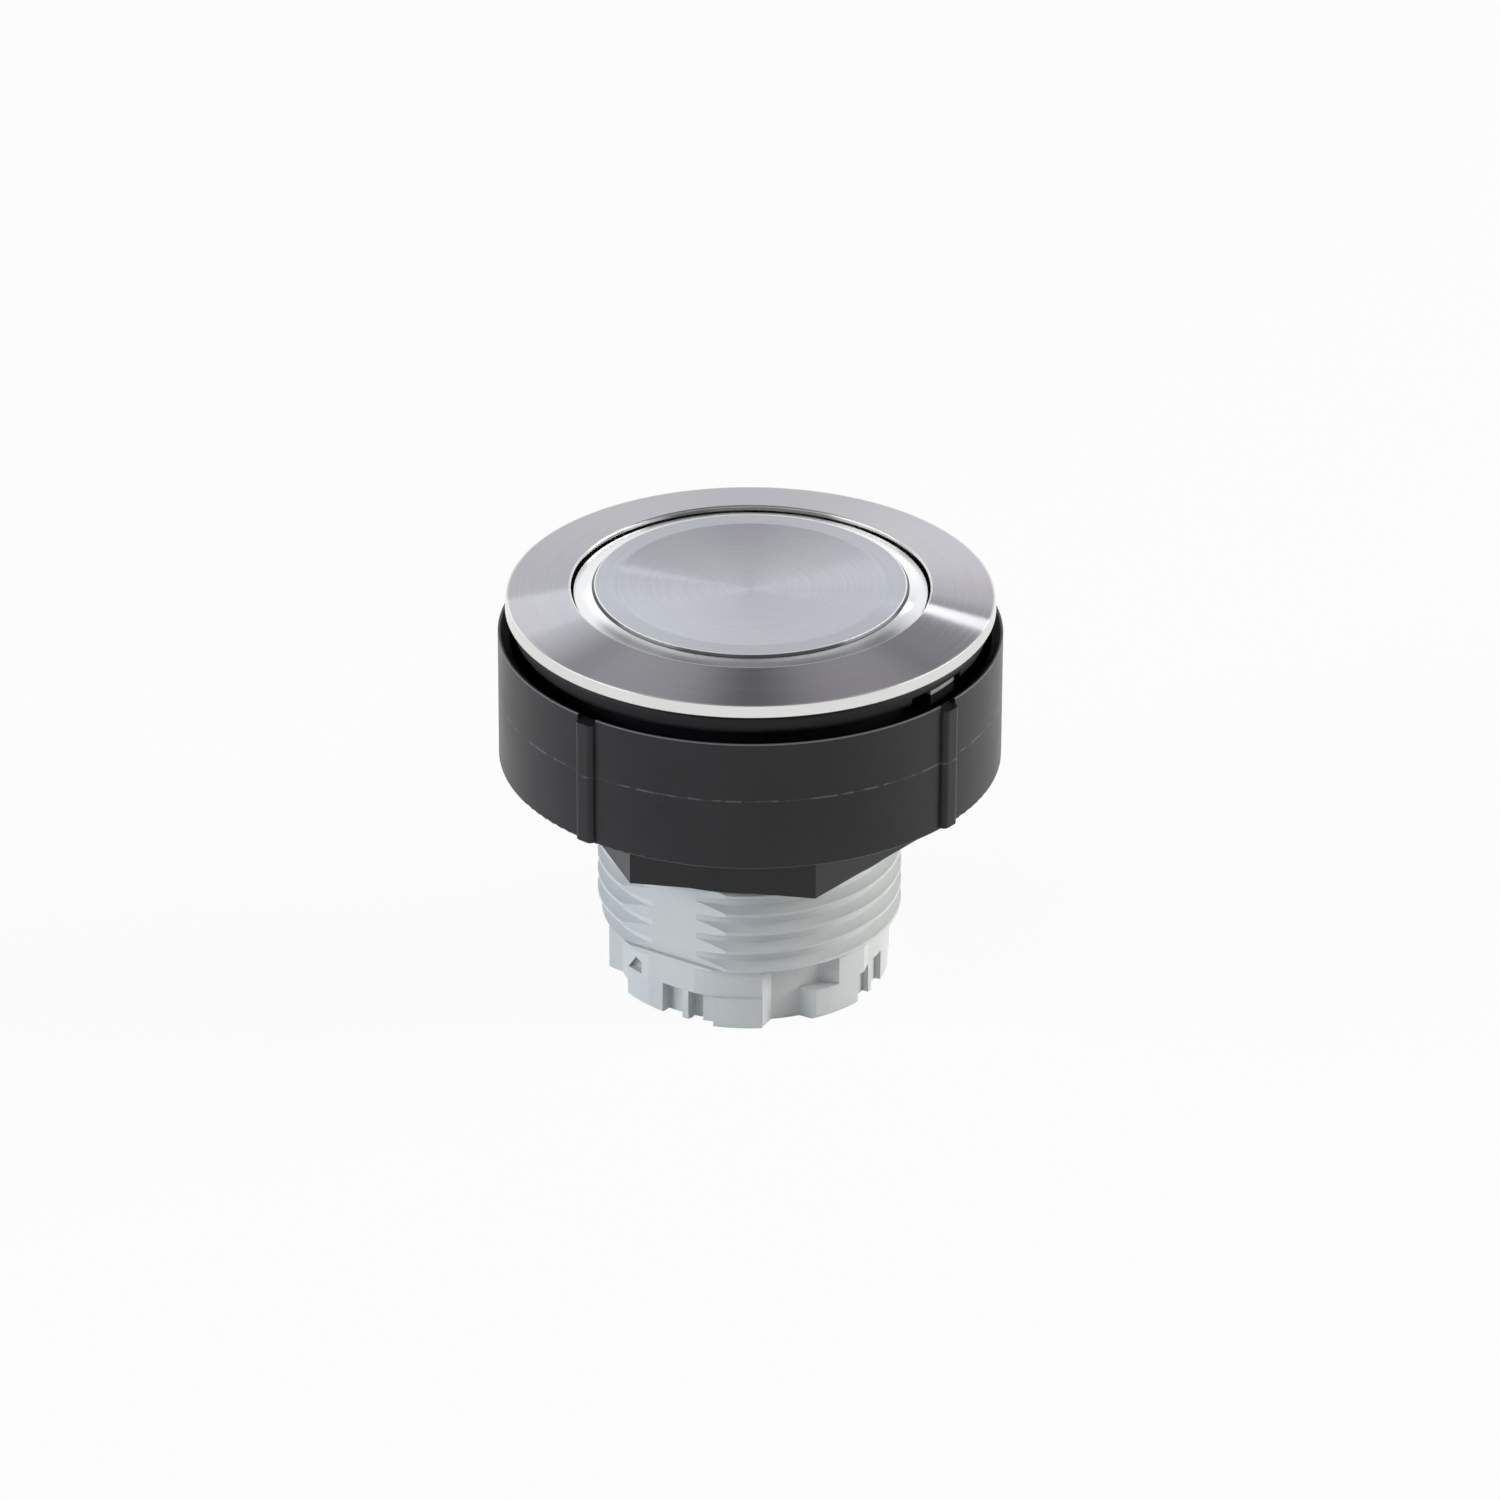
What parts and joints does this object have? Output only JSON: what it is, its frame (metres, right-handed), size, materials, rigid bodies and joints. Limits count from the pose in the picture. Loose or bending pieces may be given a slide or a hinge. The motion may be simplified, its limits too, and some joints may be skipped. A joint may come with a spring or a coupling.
{
  "type": "flush push button",
  "caption": "Round flush push button with a steel face and ring, a black skirted nut and a grey threaded bayonet body.",
  "frame": {"origin": "centre of the base's bottom face, where the contact blocks clip on", "axes": "+Z along the button's axis from the base to the face; -Y is the side towards the reference view; +X completes the frame"},
  "size_m": [0.0362, 0.0362, 0.0303],
  "materials": {
    "brushed_stainless": "satin, circular brushing with polished edges",
    "spring_steel": "drawn wire",
    "plated_steel": "zinc plated",
    "black_plastic": "fine matt moulded",
    "grey_plastic": "smooth satin moulded",
    "natural_plastic": "smooth",
    "black_rubber": "matt"
  },
  "bodies": {
    "housing": {"threaded_body": "grey_plastic", "head_housing": "black_plastic", "anti_twist_key": "grey_plastic", "front_ring": "brushed_stainless", "front_ring_o_ring": "black_rubber", "ring_retaining_clip": "spring_steel", "panel_gasket": "black_rubber", "stop_bumper": "black_rubber", "guide_bush": "natural_plastic", "spring_seat": "plated_steel", "return_spring": "spring_steel"},
    "button": {"button_cap": "brushed_stainless", "plunger": "natural_plastic", "plunger_seal": "black_rubber", "pusher": "black_plastic", "centre_screw": "plated_steel", "screw_lock_washer": "plated_steel"},
    "nut": {"mounting_nut": "black_plastic"}
  },
  "joints": [
    {"name": "button_press", "type": "slide", "parent": "housing", "child": "button", "axis": [0, 0, -1], "range_m": [0, 0.003], "stiffness_N_per_m": 700, "springref_m": -0.003, "deforming": ["return_spring"]},
    {"name": "nut_travel", "type": "slide", "parent": "housing", "child": "nut", "axis": [0, 0, -1], "range_m": [0, 0.0272]}
  ]
}
